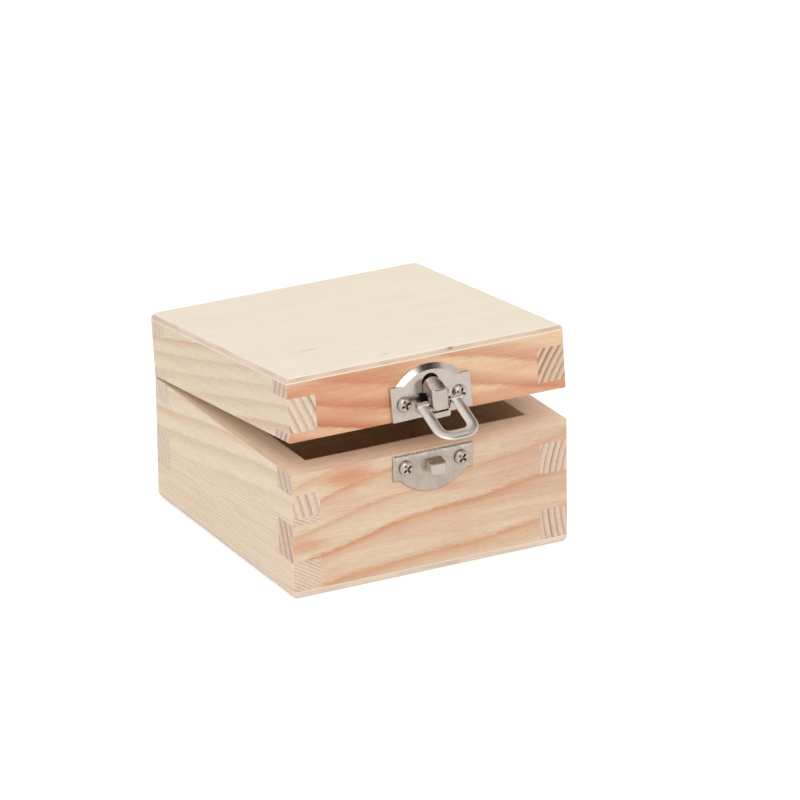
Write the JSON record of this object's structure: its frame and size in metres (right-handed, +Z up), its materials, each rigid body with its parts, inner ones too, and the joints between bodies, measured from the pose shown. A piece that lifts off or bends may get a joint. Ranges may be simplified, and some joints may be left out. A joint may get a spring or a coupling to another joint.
{
  "type": "hinged wooden box",
  "caption": "Small finger-jointed pine box with plywood top and bottom, a hinged lid resting ajar, and a nickel toggle latch whose bail hooks the strike plate on the front.",
  "frame": {"origin": "middle of the underside of the bottom panel, on the table", "axes": "+Z up, -Y out of the front with the latch, +X to the right seen from the front"},
  "size_m": [0.1, 0.1239, 0.0747],
  "materials": {
    "pine": "bare sanded pine",
    "plywood": "bare sanded plywood",
    "bright_nickel": "bright nickel plate on pressed steel",
    "worn_nickel": "nickel plate with scratches, on pressed steel",
    "hinge_nickel": "nickel plate on pressed steel",
    "screw_steel": "nickel plated steel"
  },
  "bodies": {
    "base": {"base_front_board": "pine", "base_back_board": "pine", "base_left_board": "pine", "base_right_board": "pine", "base_bottom_panel": "plywood", "strike_plate": "worn_nickel", "strike_screw_left": "screw_steel", "strike_screw_right": "screw_steel", "left_hinge_base_leaf": "hinge_nickel", "left_hinge_pin": "hinge_nickel", "left_hinge_base_screws": "screw_steel", "right_hinge_base_leaf": "hinge_nickel", "right_hinge_pin": "hinge_nickel", "right_hinge_base_screws": "screw_steel"},
    "lid": {"lid_front_board": "pine", "lid_back_board": "pine", "lid_left_board": "pine", "lid_right_board": "pine", "lid_top_panel": "plywood", "latch_plate": "bright_nickel", "latch_lever_pin": "bright_nickel", "latch_screw_left": "screw_steel", "latch_screw_right": "screw_steel", "left_hinge_lid_leaf": "hinge_nickel", "left_hinge_lid_screws": "screw_steel", "right_hinge_lid_leaf": "hinge_nickel", "right_hinge_lid_screws": "screw_steel"},
    "lever": {"latch_lever": "bright_nickel", "latch_bail_pin": "bright_nickel"},
    "bail": {"latch_bail": "bright_nickel"}
  },
  "joints": [
    {"name": "lid_hinge", "type": "hinge", "parent": "base", "child": "lid", "pos_m": [0, 0.0517, 0.04265], "axis": [-1, 0, 0], "range_deg": [-6, 164]},
    {"name": "lever_turn", "type": "hinge", "parent": "lid", "child": "lever", "pos_m": [0.00046, -0.05565, 0.05831], "axis": [0.9996, 0.0031, 0.0295], "range_deg": [0, 70]},
    {"name": "bail_swing", "type": "hinge", "parent": "lever", "child": "bail", "pos_m": [0.00041, -0.05489, 0.05984], "axis": [0.9996, 0.0031, 0.0295], "range_deg": [-110, 0]}
  ]
}
